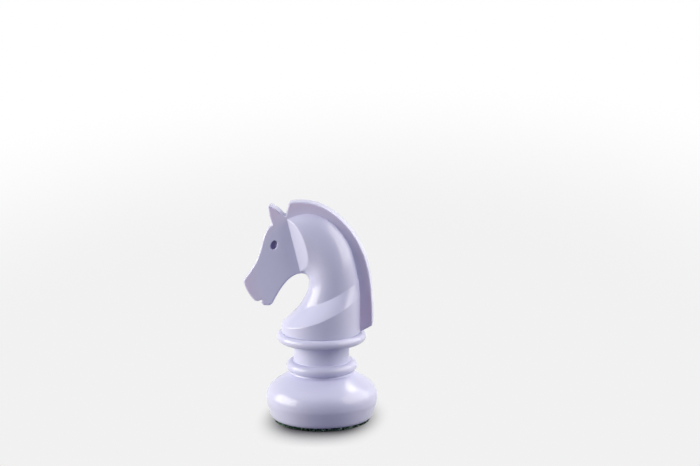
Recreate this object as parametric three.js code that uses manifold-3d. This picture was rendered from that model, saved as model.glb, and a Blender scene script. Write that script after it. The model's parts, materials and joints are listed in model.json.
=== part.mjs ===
// A giant garden chess knight: a two-part plastic piece that unscrews for storage.
// Millimetres, +Z up. The origin is the centre of the felt's underside, on the turned axis.
// The horse faces -X, and Y = 0 is its plane of symmetry.
import * as THREE from "three";
import { mergeVertices } from "three/addons/utils/BufferGeometryUtils.js";
import Module from "manifold-3d";

const wasm = await Module();
wasm.setup();

// Walls and clearances
const WALL = 4;
const FIT_GAP = 0.3;
const SLIDE_GAP = 0.7;
const EMBED = 0.6;
const OVERSHOOT = 1;
const EDGE_BREAK = 1;
const ROUND_STEPS = 32;
const SMALL_ROUND_STEPS = 12;
const HEXAGON_STEPS = 6;
const MERGE_DISTANCE = 1e-4;

// Felt and base plate
const FELT_THICKNESS = 6;
const FELT_RADIUS = 91.5;
const BASE_PLATE_THICKNESS = 4;
const BASE_RIB_HEIGHT = 6;
const BASE_RIB_THICKNESS = 3;
const BASE_RIB_GAP = 2;

// Foot of the pedestal: [radius, height above the felt] from its bottom edge to its top
const FOOT_PROFILE = [
  [93, 0],
  [102.8, 16],
  [107, 31],
  [107.8, 41],
  [103.6, 56],
  [87, 72],
  [62, 87],
];
const FOOT_STEPS = 12;

// Collar in the top of the foot, and the stem's tail that is glued into it
const COLLAR_DEPTH = 12;
const STEM_TAIL_LENGTH = 14;

// Stem of the pedestal with its two beads
const LOWER_BEAD_TUBE = 10.3;
const LOWER_BEAD_RADIUS = 58.2;
const LOWER_BEAD_HEIGHT = 101.8;
const LOWER_BEAD_ARC = [-70, 100];
const COLUMN_RADIUS = 54.8;
const COLUMN_WAIST = 1;
const COLUMN_FILLET = 1.2;
const UPPER_BEAD_TUBE = 9.6;
const UPPER_BEAD_RADIUS = 76.6;
const UPPER_BEAD_HEIGHT = 159.9;
const UPPER_BEAD_ARC = [-90, 90];
const BEAD_STEPS = 6;

// Screw thread between pedestal and bust
const THREAD_HEIGHT = 3;
const THREAD_WIDTH = 4;
const THREAD_TAPER = 0.75;
const THREAD_LEAD = 20;
const THREAD_STARTS = 2;
const SOCKET_RIB_TURN = 0.5;
const SPIGOT_RIB_TURN = 0.75;
const SPIGOT_RIB_START = 0.125;
const THREAD_DEPTH_BELOW_SEAT = 20;
const SPIGOT_LENGTH = 27;
const SOCKET_WALL = 10;
const CHANNEL_WIDTH = 12;
const CHANNEL_DEPTH = 14;

// Seat washer and the plate that closes the bust
const WASHER_THICKNESS = 2;
const BUST_BASE_THICKNESS = 5;

// Ballast
const BALLAST_RADIUS = 62;
const BALLAST_THICKNESS = 22;
const BALLAST_HOLE_GAP = 1;
const BALLAST_PAD_THICKNESS = 2;
const BALLAST_PAD_MARGIN = 4;
const BOLT_RADIUS = 4;
const BOLT_HEAD_RADIUS = 8;
const BOLT_HEAD_HEIGHT = 3.6;
const BOLT_DRIVE_RADIUS = 2.4;
const BOLT_DRIVE_DEPTH = 3;
const BOLT_LENGTH = 42;
const BOLT_WASHER_RADIUS = 12;
const BOLT_WASHER_THICKNESS = 2;
const NUT_RADIUS = 7.5;
const NUT_HEIGHT = 6.5;

// Self-tapping screws and the bosses that take them
const SCREW_RADIUS = 2;
const SCREW_LENGTH = 18;
const SCREW_POINT = 3;
const SCREW_HEAD_RADIUS = 4;
const SCREW_HEAD_HEIGHT = 2.4;
const DRIVE_WIDTH = 0.9;
const DRIVE_LENGTH = 4.6;
const DRIVE_DEPTH = 1.5;
const SCREW_COUNT = 6;
const SCREW_EDGE_DISTANCE = 6.4;
const BOSS_RADIUS = 5.5;
const BASE_BOSS_HEIGHT = 30;
const BUST_BOSS_HEIGHT = 15;
const WEB_THICKNESS = 3;

// Drum at the foot of the bust and the slanted band that leads into the neck
const DRUM_RADIUS = 77.2;
const RIM_FRONT_HEIGHT = 15.4;
const RIM_SLOPE = 0.386;
const RIM_DIP = 11.7;
const RIM_INSET = 0.6;

// Horse's head, ears and mane: one flat plate
const PLATE_THICKNESS = 28;
const PLATE_ROOT = 18;
const SPLINE_STEPS = 3;
const INSET_LEAST_SHARE = 0.93;

// Outline of the plate: [x, height above the bust's underside], clockwise from the chest to the drum
const CHEST_POINT = [20, 24.2];
const THROAT_POINTS = [
  [-22, 86.2],
  [-22.5, 103.2],
  [-28, 113.7],
  [-38, 115.7],
  [-55, 109.2],
  [-74, 89.2],
  [-88, 66.2],
  [-93, 56.2],
];
const MOUTH_POINTS = [
  [-99, 51.2],
  [-111, 51.7],
  [-115, 56.2],
  [-114, 62.7],
  [-122, 59.2],
];
const NOSE_POINTS = [
  [-128, 60.2],
  [-140, 75.2],
  [-147.5, 91.2],
  [-149.5, 98.2],
];
const FACE_POINTS = [
  [-148.5, 102.2],
  [-137, 118.2],
  [-126, 134.2],
  [-118.5, 154.2],
  [-112, 176.2],
  [-106, 194.2],
  [-99, 206.2],
];
const EAR_POINTS = [
  [-93, 211.2],
  [-98, 228.2],
  [-100.5, 247.2],
  [-95, 248.2],
  [-82, 240.2],
  [-70, 228.7],
  [-66, 228.2],
  [-64, 241.2],
];
const MANE_POINTS = [
  [-60, 254.2],
  [-38, 256.2],
  [-15, 254.2],
  [6, 246.2],
  [28, 232.7],
  [49, 213.7],
  [66, 191.2],
  [79.5, 167.2],
  [89.5, 138.2],
  [96, 104.2],
  [99, 69.2],
  [99.5, 15.2],
];
const MANE_FOOT_RISE = 2.7;

// Neck sections from the top of the band to the cheek: their ends in front and at the back,
// as [x, height above the bust's underside], their half widths, and how far their sides droop
const NECK_FRONT = [
  [-42, 50.2],
  [-29, 74.2],
  [-24, 94.2],
  [-24, 106.2],
  [-29, 113.2],
  [-34, 115.2],
  [-38.5, 116.2],
];
const NECK_BACK = [
  [76, 105.2],
  [69.5, 134.2],
  [57, 175.2],
  [33.5, 209.2],
  [8, 229.2],
  [-28, 237.2],
  [-65, 226.2],
];
const NECK_HALF_WIDTHS = [50.7, 49.5, 47.5, 45, 42.5, 40, 38];
const NECK_DROOPS = [6, 3, 1, 0, 0, 0, 0];
const NECK_STEPS = 10;
const CHEEK_FACET_ANGLE = 45;
const CHEEK_CUT_LENGTH = 150;

// Eye: an oval recess on each side, with a cup behind it inside the shell
const EYE_PLACE = [-89.5, 171.2];
const EYE_HALF_LENGTH = 9;
const EYE_HALF_WIDTH = 6;
const EYE_TILT = 20;
const EYE_DEPTH = 6;
const EYE_STEPS = 24;

// Locating pins across the seam between the two halves
const PIN_RADIUS = 2.5;
const PIN_LENGTH = 6;
const PIN_END_GAP = 1;
const PIN_BOSS_RADIUS = 6;
const PIN_ROOT = 3;
const PIN_PLACES = [
  [-108, 112.2],
  [-8, 172.2],
  [60, 82.2],
  [-12, 34.2],
];

// Finish
const PLASTIC = { color: 0xd6d4e8, roughness: 0.16, metalness: 0 };
const RIBBED_PLASTIC = { color: 0xc9c7db, roughness: 0.4, metalness: 0 };
const FELT = { color: 0x22382c, roughness: 1, metalness: 0 };
const IRON = { color: 0x4a4a4e, roughness: 0.7, metalness: 0.8 };
const STEEL = { color: 0xb9bcc2, roughness: 0.35, metalness: 1 };
const RUBBER = { color: 0x2b2b2d, roughness: 0.9, metalness: 0 };

// Heights and radii that follow from the sizes above
const FOOT_BOTTOM = FELT_THICKNESS;
const BASE_PLATE_TOP = FOOT_BOTTOM + BASE_PLATE_THICKNESS;
const SEAT_HEIGHT = FELT_THICKNESS + UPPER_BEAD_HEIGHT + UPPER_BEAD_TUBE;
const BUST_BOTTOM = SEAT_HEIGHT + FIT_GAP;
const BUST_BASE_BOTTOM = SEAT_HEIGHT + WASHER_THICKNESS;
const BUST_BASE_TOP = BUST_BASE_BOTTOM + BUST_BASE_THICKNESS;
const BORE_RADIUS = COLUMN_RADIUS - COLUMN_WAIST - WALL;
const SPIGOT_RADIUS = BORE_RADIUS - THREAD_HEIGHT - SLIDE_GAP;
const CHANNEL_INNER_RADIUS = BORE_RADIUS + SOCKET_WALL;
const CHANNEL_OUTER_RADIUS = CHANNEL_INNER_RADIUS + CHANNEL_WIDTH;
const BASE_PLATE_RADIUS = FOOT_PROFILE[0][0] - WALL - 2 * FIT_GAP;
const BUST_BASE_RADIUS = DRUM_RADIUS - WALL - FIT_GAP;
const BASE_SCREW_CIRCLE = BASE_PLATE_RADIUS - SCREW_EDGE_DISTANCE;
const BUST_SCREW_CIRCLE = BUST_BASE_RADIUS - SCREW_EDGE_DISTANCE;
const BALLAST_BOTTOM = BASE_PLATE_TOP + BALLAST_PAD_THICKNESS;
const BALLAST_TOP = BALLAST_BOTTOM + BALLAST_THICKNESS;
const PLATE_HALF = PLATE_THICKNESS / 2;
const RIM_HEIGHT = BUST_BOTTOM + RIM_FRONT_HEIGHT + RIM_SLOPE * DRUM_RADIUS;
const COLLAR_RADIUS = BORE_RADIUS + WALL + FIT_GAP;
const TALL = 600;

const v2 = (x, y) => new THREE.Vector2(x, y);
const v3 = (x, y, z) => new THREE.Vector3(x, y, z);
const radians = THREE.MathUtils.degToRad;

// Solids from three.js geometry and back

function solidOf(geometry) {
  const plain = new THREE.BufferGeometry();
  plain.setAttribute("position", geometry.getAttribute("position"));
  plain.setIndex(geometry.index);
  const merged = mergeVertices(plain, MERGE_DISTANCE);
  const position = merged.getAttribute("position");
  const index = merged.index.array;
  const faces = [];
  let volume = 0;
  const [a, b, c] = [v3(), v3(), v3()];
  for (let i = 0; i < index.length; i += 3) {
    const [p, q, r] = [index[i], index[i + 1], index[i + 2]];
    if (p === q || q === r || r === p) continue;
    faces.push([p, q, r]);
    a.fromBufferAttribute(position, p);
    b.fromBufferAttribute(position, q);
    c.fromBufferAttribute(position, r);
    volume += a.dot(b.cross(c));
  }
  const outward = volume < 0 ? faces.map(([p, q, r]) => [p, r, q]) : faces;
  return new wasm.Manifold(
    new wasm.Mesh({
      numProp: 3,
      vertProperties: new Float32Array(position.array),
      triVerts: new Uint32Array(outward.flat()),
    }),
  );
}

function geometryOf(solid) {
  const mesh = solid.getMesh();
  const geometry = new THREE.BufferGeometry();
  geometry.setAttribute("position", new THREE.BufferAttribute(mesh.vertProperties, mesh.numProp));
  geometry.setIndex(new THREE.BufferAttribute(mesh.triVerts, 1));
  geometry.computeVertexNormals();
  return geometry;
}

const joined = (solids) => solids.reduce((whole, next) => whole.add(next));

// Turned solid about the Z axis from a closed profile of [radius, height] pairs
function turned(profile, steps = ROUND_STEPS) {
  const points = profile.map(([radius, height]) => v2(radius, height));
  points.push(points[0].clone());
  const geometry = new THREE.LatheGeometry(points, steps);
  geometry.rotateX(Math.PI / 2);
  return solidOf(geometry);
}

function block(xSize, ySize, zSize, x, y, z) {
  const geometry = new THREE.BoxGeometry(xSize, ySize, zSize);
  geometry.translate(x, y, z);
  return solidOf(geometry);
}

function rod(radius, bottom, top, x = 0, y = 0, steps = SMALL_ROUND_STEPS) {
  const geometry = new THREE.CylinderGeometry(radius, radius, top - bottom, steps);
  geometry.rotateX(Math.PI / 2);
  geometry.translate(x, y, (top + bottom) / 2);
  return solidOf(geometry);
}

// Rod along Y, at a place of the plane of symmetry
function crossRod(radius, yStart, yEnd, [x, z], steps = SMALL_ROUND_STEPS) {
  const geometry = new THREE.CylinderGeometry(radius, radius, yEnd - yStart, steps);
  geometry.translate(x, (yStart + yEnd) / 2, z);
  return solidOf(geometry);
}

// Closed skin over a row of rings that all have the same number of points
function lofted(rings) {
  const count = rings[0].length;
  const positions = rings.flat();
  const middle = (ring) => ring.reduce((sum, p) => sum.add(p), v3(0, 0, 0)).divideScalar(count);
  positions.push(middle(rings[0]), middle(rings[rings.length - 1]));
  const faces = [];
  const last = (rings.length - 1) * count;
  for (let j = 0; j < count; j++) {
    const k = (j + 1) % count;
    for (let i = 0; i < last; i += count) {
      faces.push(i + j, i + k, i + count + k, i + j, i + count + k, i + count + j);
    }
    faces.push(positions.length - 2, k, j, positions.length - 1, last + j, last + k);
  }
  const geometry = new THREE.BufferGeometry().setFromPoints(positions);
  geometry.setIndex(faces);
  return solidOf(geometry);
}

// Plate parallel to the plane of symmetry, from an outline of [x, z] points
function plate(outline, thickness) {
  const shape = new THREE.Shape(outline.map(([x, z]) => v2(x, z)));
  const geometry = new THREE.ExtrudeGeometry(shape, { depth: thickness, bevelEnabled: false });
  geometry.rotateX(Math.PI / 2);
  geometry.translate(0, thickness / 2, 0);
  return solidOf(geometry);
}

// Smooth stretch of an outline through a few [x, z] points
function smooth(points) {
  const curve = new THREE.SplineCurve(points.map(([x, z]) => v2(x, z)));
  return curve.getPoints((points.length - 1) * SPLINE_STEPS).map((p) => [p.x, p.y]);
}

// Section of a bead: [radius, height] pairs on an arc, with its angles in degrees
function arc(radius, height, tube, [from, to]) {
  const pairs = [];
  for (let i = 0; i <= BEAD_STEPS; i++) {
    const angle = radians(from + ((to - from) * i) / BEAD_STEPS);
    pairs.push([radius + tube * Math.cos(angle), height + tube * Math.sin(angle)]);
  }
  return pairs;
}

// Clockwise outline moved inwards by the wall, without the points that narrow places have no room for
function inset(outline, wall) {
  const moved = [];
  const count = outline.length;
  for (let i = 0; i < count; i++) {
    const [px, pz] = outline[(i + count - 1) % count];
    const [nx, nz] = outline[(i + 1) % count];
    const length = Math.hypot(nx - px, nz - pz);
    const [x, z] = outline[i];
    moved.push([x + ((nz - pz) / length) * wall, z - ((nx - px) / length) * wall]);
  }
  const room = ([x, z]) => {
    let least = Infinity;
    for (let i = 0; i < count; i++) {
      const [ax, az] = outline[i];
      const [bx, bz] = outline[(i + 1) % count];
      const squared = (bx - ax) ** 2 + (bz - az) ** 2;
      const along = ((x - ax) * (bx - ax) + (z - az) * (bz - az)) / squared;
      const share = Math.min(1, Math.max(0, along));
      least = Math.min(least, Math.hypot(x - ax - share * (bx - ax), z - az - share * (bz - az)));
    }
    return least;
  };
  return moved.filter((point) => room(point) > wall * INSET_LEAST_SHARE);
}

// Places of the screws round the axis, as angles
function screwAngles() {
  const step = (2 * Math.PI) / SCREW_COUNT;
  return Array.from({ length: SCREW_COUNT }, (_, i) => (i + 0.5) * step);
}

function around(circle, angle) {
  return [circle * Math.cos(angle), circle * Math.sin(angle)];
}

// Boss for a self-tapping screw, with a web out to the wall
function boss(circle, angle, bottom, top, wallRadius) {
  const [x, y] = around(circle, angle);
  const web = block(
    wallRadius - circle,
    WEB_THICKNESS,
    top - bottom,
    (wallRadius + circle) / 2,
    0,
    (top + bottom) / 2,
  );
  return rod(BOSS_RADIUS, bottom, top, x, y).add(
    web.rotate([0, 0, THREE.MathUtils.radToDeg(angle)]),
  );
}

function pilotHole(circle, angle, bottom) {
  const [x, y] = around(circle, angle);
  const top = bottom + SCREW_LENGTH - SCREW_POINT;
  return rod(SCREW_RADIUS + FIT_GAP, bottom - OVERSHOOT, top, x, y);
}

// Countersunk hole in a plate, opening downwards
function countersink(circle, angle, bottom, thickness) {
  const [x, y] = around(circle, angle);
  const hole = turned(
    [
      [0, bottom - OVERSHOOT],
      [SCREW_HEAD_RADIUS + FIT_GAP + OVERSHOOT, bottom - OVERSHOOT],
      [SCREW_RADIUS + 2 * FIT_GAP, bottom + SCREW_HEAD_HEIGHT + FIT_GAP],
      [SCREW_RADIUS + 2 * FIT_GAP, bottom + thickness + OVERSHOOT],
      [0, bottom + thickness + OVERSHOOT],
    ],
    SMALL_ROUND_STEPS,
  );
  return hole.translate([x, y, 0]);
}

// Thread rib that climbs by the lead in one turn
function threadRib(root, tip, bottom, turn, startAngle) {
  const steps = Math.ceil(turn * ROUND_STEPS);
  const rings = [];
  for (let i = 0; i <= steps; i++) {
    const angle = startAngle + (turn * 2 * Math.PI * i) / steps;
    const middle = bottom + (THREAD_LEAD * turn * i) / steps;
    const half = THREAD_WIDTH / 2;
    const corner = (radius, rise) =>
      v3(radius * Math.cos(angle), radius * Math.sin(angle), middle + rise);
    rings.push([
      corner(root, -half),
      corner(tip, -half * THREAD_TAPER),
      corner(tip, half * THREAD_TAPER),
      corner(root, half),
    ]);
  }
  return lofted(rings);
}

function threadRibs(root, tip, bottom, turn, startAngle) {
  return Array.from({ length: THREAD_STARTS }, (_, i) =>
    threadRib(root, tip, bottom, turn, startAngle + (i * 2 * Math.PI) / THREAD_STARTS),
  );
}

// Pedestal

function footOutline() {
  const curve = new THREE.SplineCurve(FOOT_PROFILE.map(([radius, height]) => v2(radius, height)));
  return curve.getPoints(FOOT_STEPS).map((p) => [p.x, FOOT_BOTTOM + p.y]);
}

function footSolid() {
  const outline = footOutline();
  const top = outline[FOOT_STEPS][1];
  const collarOuter = COLLAR_RADIUS + WALL;
  const inside = outline
    .filter((_, i) => i % 2 === 0)
    .slice(0, -1)
    .map(([radius, height], i, kept) => {
      const [nextRadius, nextHeight] = kept[i + 1] ?? outline[FOOT_STEPS];
      const length = Math.hypot(nextRadius - radius, nextHeight - height);
      const rise = i ? ((nextRadius - radius) / length) * WALL : 0;
      return [radius - ((nextHeight - height) / length) * WALL, height + rise];
    })
    .reverse();
  const shell = turned([
    ...outline,
    [COLLAR_RADIUS, top],
    [COLLAR_RADIUS, top - COLLAR_DEPTH],
    [collarOuter, top - COLLAR_DEPTH],
    [collarOuter, top - WALL],
    ...inside,
  ]);
  const widest = Math.max(...outline.map(([radius]) => radius));
  const outside = turned([[0, FOOT_BOTTOM], ...outline, [0, top]]);
  const bossBottom = BASE_PLATE_TOP + FIT_GAP;
  const bosses = screwAngles().map((angle) =>
    boss(BASE_SCREW_CIRCLE, angle, bossBottom, bossBottom + BASE_BOSS_HEIGHT, widest),
  );
  const holes = screwAngles().map((angle) => pilotHole(BASE_SCREW_CIRCLE, angle, bossBottom));
  return joined([shell, joined(bosses).intersect(outside)]).subtract(joined(holes));
}

function stemSolid() {
  const shoulder = footOutline()[FOOT_STEPS][1] + FIT_GAP;
  const tailBottom = shoulder - STEM_TAIL_LENGTH;
  const lowerBead = FELT_THICKNESS + LOWER_BEAD_HEIGHT;
  const upperBead = FELT_THICKNESS + UPPER_BEAD_HEIGHT;
  const columnBottom = lowerBead + LOWER_BEAD_TUBE;
  const columnTop = upperBead - UPPER_BEAD_TUBE;
  const beadSection = arc(LOWER_BEAD_RADIUS, lowerBead, LOWER_BEAD_TUBE, LOWER_BEAD_ARC);
  const body = turned([
    [BORE_RADIUS + WALL, tailBottom],
    [BORE_RADIUS + WALL, shoulder],
    [beadSection[0][0], shoulder],
    ...beadSection,
    [COLUMN_RADIUS, columnBottom + COLUMN_FILLET],
    [COLUMN_RADIUS - COLUMN_WAIST, (columnBottom + columnTop) / 2],
    [COLUMN_RADIUS, columnTop - COLUMN_FILLET],
    [COLUMN_RADIUS + COLUMN_FILLET, columnTop],
    ...arc(UPPER_BEAD_RADIUS, upperBead, UPPER_BEAD_TUBE, UPPER_BEAD_ARC),
    [CHANNEL_OUTER_RADIUS, SEAT_HEIGHT],
    [CHANNEL_OUTER_RADIUS, SEAT_HEIGHT - CHANNEL_DEPTH],
    [CHANNEL_INNER_RADIUS, SEAT_HEIGHT - CHANNEL_DEPTH],
    [CHANNEL_INNER_RADIUS, SEAT_HEIGHT],
    [BORE_RADIUS, SEAT_HEIGHT],
    [BORE_RADIUS, tailBottom],
  ]);
  const ribs = threadRibs(
    BORE_RADIUS + EMBED,
    BORE_RADIUS - THREAD_HEIGHT,
    SEAT_HEIGHT - THREAD_DEPTH_BELOW_SEAT,
    SOCKET_RIB_TURN,
    0,
  );
  return joined([body, ...ribs]);
}

function basePlateSolid() {
  const disc = turned([
    [BOLT_HEAD_RADIUS + FIT_GAP, FOOT_BOTTOM],
    [BASE_PLATE_RADIUS, FOOT_BOTTOM],
    [BASE_PLATE_RADIUS, BASE_PLATE_TOP],
    [BOLT_RADIUS + FIT_GAP, BASE_PLATE_TOP],
    [BOLT_RADIUS + FIT_GAP, FOOT_BOTTOM + BOLT_HEAD_HEIGHT + FIT_GAP],
  ]);
  const ribInner = BALLAST_RADIUS + BASE_RIB_GAP;
  const ribOuter = BASE_PLATE_RADIUS - BASE_RIB_GAP;
  const ribs = screwAngles().map((angle) => {
    const rib = block(
      ribOuter - ribInner,
      BASE_RIB_THICKNESS,
      BASE_RIB_HEIGHT + EMBED,
      (ribOuter + ribInner) / 2,
      0,
      BASE_PLATE_TOP + (BASE_RIB_HEIGHT - EMBED) / 2,
    );
    return rib.rotate([0, 0, THREE.MathUtils.radToDeg(angle) + 180 / SCREW_COUNT]);
  });
  const holes = screwAngles().map((angle) =>
    countersink(BASE_SCREW_CIRCLE, angle, FOOT_BOTTOM, BASE_PLATE_THICKNESS),
  );
  return joined([disc, ...ribs]).subtract(joined(holes));
}

const feltSolid = () => rod(FELT_RADIUS, 0, FELT_THICKNESS, 0, 0, ROUND_STEPS);

function ring(innerRadius, outerRadius, bottom, thickness, steps = ROUND_STEPS) {
  const top = bottom + thickness;
  return turned(
    [
      [innerRadius, bottom],
      [outerRadius, bottom],
      [outerRadius, top],
      [innerRadius, top],
    ],
    steps,
  );
}

function ballastPadSolid() {
  const inner = BOLT_RADIUS + BALLAST_HOLE_GAP;
  const outer = BALLAST_RADIUS - BALLAST_PAD_MARGIN;
  return ring(inner, outer, BASE_PLATE_TOP, BALLAST_PAD_THICKNESS);
}

function ballastDiscSolid() {
  const inner = BOLT_RADIUS + BALLAST_HOLE_GAP;
  return ring(inner, BALLAST_RADIUS, BALLAST_BOTTOM, BALLAST_THICKNESS);
}

function ballastWasherSolid() {
  const inner = BOLT_RADIUS + FIT_GAP;
  const [outer, thickness] = [BOLT_WASHER_RADIUS, BOLT_WASHER_THICKNESS];
  return ring(inner, outer, BALLAST_TOP, thickness, SMALL_ROUND_STEPS);
}

function ballastBoltSolid() {
  const bottom = FOOT_BOTTOM + FIT_GAP;
  const top = bottom + BOLT_LENGTH;
  const bolt = turned(
    [
      [0, bottom],
      [BOLT_HEAD_RADIUS - FIT_GAP, bottom],
      [BOLT_RADIUS, bottom + BOLT_HEAD_HEIGHT],
      [BOLT_RADIUS, top - EDGE_BREAK],
      [BOLT_RADIUS - EDGE_BREAK, top],
      [0, top],
    ],
    SMALL_ROUND_STEPS,
  );
  const drive = [bottom - OVERSHOOT, bottom + BOLT_DRIVE_DEPTH];
  return bolt.subtract(rod(BOLT_DRIVE_RADIUS, ...drive, 0, 0, HEXAGON_STEPS));
}

function nutSolid() {
  const bottom = BALLAST_TOP + BOLT_WASHER_THICKNESS;
  const top = bottom + NUT_HEIGHT;
  const hexagon = rod(NUT_RADIUS, bottom, top, 0, 0, HEXAGON_STEPS);
  return hexagon.subtract(rod(BOLT_RADIUS + FIT_GAP, bottom - OVERSHOOT, top + OVERSHOOT));
}

function screwSolid(circle, angle, bottom) {
  const [x, y] = around(circle, angle);
  const head = bottom + FIT_GAP;
  const screw = turned(
    [
      [0, head],
      [SCREW_HEAD_RADIUS, head],
      [SCREW_RADIUS, head + SCREW_HEAD_HEIGHT],
      [SCREW_RADIUS, head + SCREW_LENGTH - SCREW_POINT],
      [0, head + SCREW_LENGTH],
    ],
    SMALL_ROUND_STEPS,
  );
  const slot = block(DRIVE_WIDTH, DRIVE_LENGTH, 2 * DRIVE_DEPTH, 0, 0, head);
  const cross = slot.add(slot.rotate([0, 0, 90]));
  return screw.subtract(cross).translate([x, y, 0]);
}

// Washer between pedestal and bust

function seatWasherSolid() {
  const inner = SPIGOT_RADIUS + FIT_GAP;
  const outer = CHANNEL_INNER_RADIUS - EDGE_BREAK;
  return ring(inner, outer, SEAT_HEIGHT, WASHER_THICKNESS);
}

// Bust

function bustBaseSolid() {
  const lid = BUST_BASE_BOTTOM;
  const spigotBottom = SEAT_HEIGHT - SPIGOT_LENGTH;
  const body = turned([
    [0, lid],
    [SPIGOT_RADIUS - WALL, lid],
    [SPIGOT_RADIUS - WALL, spigotBottom],
    [SPIGOT_RADIUS - EDGE_BREAK, spigotBottom],
    [SPIGOT_RADIUS, spigotBottom + EDGE_BREAK],
    [SPIGOT_RADIUS, lid],
    [BUST_BASE_RADIUS, lid],
    [BUST_BASE_RADIUS, BUST_BASE_TOP],
    [0, BUST_BASE_TOP],
  ]);
  const pitch = THREAD_LEAD / THREAD_STARTS;
  const ribBottom = SEAT_HEIGHT - THREAD_DEPTH_BELOW_SEAT - pitch / 2;
  const ribs = threadRibs(
    SPIGOT_RADIUS - EMBED,
    SPIGOT_RADIUS + THREAD_HEIGHT,
    ribBottom + THREAD_LEAD * SPIGOT_RIB_START,
    SPIGOT_RIB_TURN,
    SPIGOT_RIB_START * 2 * Math.PI,
  );
  const holes = screwAngles().map((angle) =>
    countersink(BUST_SCREW_CIRCLE, angle, lid, BUST_BASE_THICKNESS),
  );
  return joined([body, ...ribs]).subtract(joined(holes));
}

// A place on the bust, given as [x, height above its underside]
const onBust = ([x, height]) => [x, BUST_BOTTOM + height];

// Outline of head, ears and mane, clockwise, starting in the chest and ending in the drum
function plateOutline() {
  const outline = [
    CHEST_POINT,
    ...smooth(THROAT_POINTS),
    ...MOUTH_POINTS,
    ...smooth(NOSE_POINTS),
    ...smooth(FACE_POINTS),
    ...EAR_POINTS,
    ...smooth(MANE_POINTS),
    [DRUM_RADIUS, MANE_FOOT_RISE],
    [DRUM_RADIUS - PLATE_ROOT, MANE_FOOT_RISE],
  ];
  return outline.map(onBust);
}

// Section rings of drum, band and neck, all drawn in by the wall for the hollow
function bodyRings(wall) {
  const angles = Array.from({ length: ROUND_STEPS }, (_, j) => (j * 2 * Math.PI) / ROUND_STEPS);
  const level = (radius, height) =>
    angles.map((t) => v3(radius * Math.cos(t), radius * Math.sin(t), height));
  const bottom = level(DRUM_RADIUS - wall, wall ? BUST_BOTTOM - OVERSHOOT : BUST_BOTTOM);
  const rimRadius = DRUM_RADIUS - wall;
  const rim = angles.map((t) => {
    const [x, y] = [rimRadius * Math.cos(t), rimRadius * Math.sin(t)];
    const height = RIM_HEIGHT + RIM_SLOPE * x - RIM_DIP * (y / rimRadius) ** 2;
    return v3(x, y, height - wall * RIM_INSET);
  });
  const path = (points) => new THREE.CatmullRomCurve3(points.map(onBust).map(([x, z]) => v3(x, 0, z)));
  const front = path(NECK_FRONT);
  const back = path(NECK_BACK);
  const sizes = new THREE.SplineCurve(NECK_HALF_WIDTHS.map((w, i) => v2(w, NECK_DROOPS[i])));
  const rings = [bottom, rim];
  for (let i = 0; i <= NECK_STEPS; i++) {
    const f = front.getPoint(i / NECK_STEPS);
    const b = back.getPoint(i / NECK_STEPS);
    const length = Math.hypot(b.x - f.x, b.z - f.z);
    const [dx, dz] = [(b.x - f.x) / length, (b.z - f.z) / length];
    const half = length / 2 - wall;
    const [cx, cz] = [(b.x + f.x) / 2, (b.z + f.z) / 2];
    const { x: halfWidth, y: droop } = sizes.getPoint(i / NECK_STEPS);
    rings.push(
      angles.map((t) => {
        const along = half * Math.cos(t);
        const z = cz + dz * along - droop * Math.sin(t) ** 2;
        return v3(cx + dx * along, (halfWidth - wall) * Math.sin(t), z);
      }),
    );
  }
  return rings;
}

// Blocks that cut the flat cheek facets, one on each side, each leaning back from the cheek line
function cheekCutters(wall) {
  const [throat, crest] = [NECK_FRONT.at(-1), NECK_BACK.at(-1)]
    .map(onBust)
    .map(([x, z]) => v3(x, 0, z));
  const along = crest.clone().sub(throat).normalize();
  const rearward = v3(along.z, 0, -along.x);
  const angle = radians(CHEEK_FACET_ANGLE);
  const middle = throat.clone().add(crest).multiplyScalar(0.5);
  return [-1, 1].map((side) => {
    const slant = rearward.clone().multiplyScalar(Math.sin(angle));
    slant.y = side * Math.cos(angle);
    const forward = along.clone().cross(slant).multiplyScalar(side);
    const geometry = new THREE.BoxGeometry(CHEEK_CUT_LENGTH, CHEEK_CUT_LENGTH, CHEEK_CUT_LENGTH);
    geometry.translate(0, 0, CHEEK_CUT_LENGTH / 2);
    geometry.applyMatrix4(new THREE.Matrix4().makeBasis(along, slant, forward));
    const start = middle.clone().addScaledVector(forward, -wall);
    geometry.translate(start.x, start.y + side * PLATE_HALF, start.z);
    return solidOf(geometry);
  });
}

function bustOutside() {
  const body = lofted(bodyRings(0)).subtract(joined(cheekCutters(0)));
  return body.add(plate(plateOutline(), PLATE_THICKNESS));
}

function bustInside() {
  const body = lofted(bodyRings(WALL)).subtract(joined(cheekCutters(WALL)));
  return body.add(plate(inset(plateOutline(), WALL), PLATE_THICKNESS - 2 * WALL));
}

// Oval rod at the eye, from the plate's face down to the given depth
function eyeRod(side, margin, depth) {
  const geometry = new THREE.CylinderGeometry(1, 1, 2 * depth, EYE_STEPS);
  geometry.scale(EYE_HALF_WIDTH + margin, 1, EYE_HALF_LENGTH + margin);
  geometry.rotateY(radians(EYE_TILT));
  const [x, z] = onBust(EYE_PLACE);
  geometry.translate(x, side * PLATE_HALF, z);
  return solidOf(geometry);
}

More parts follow.
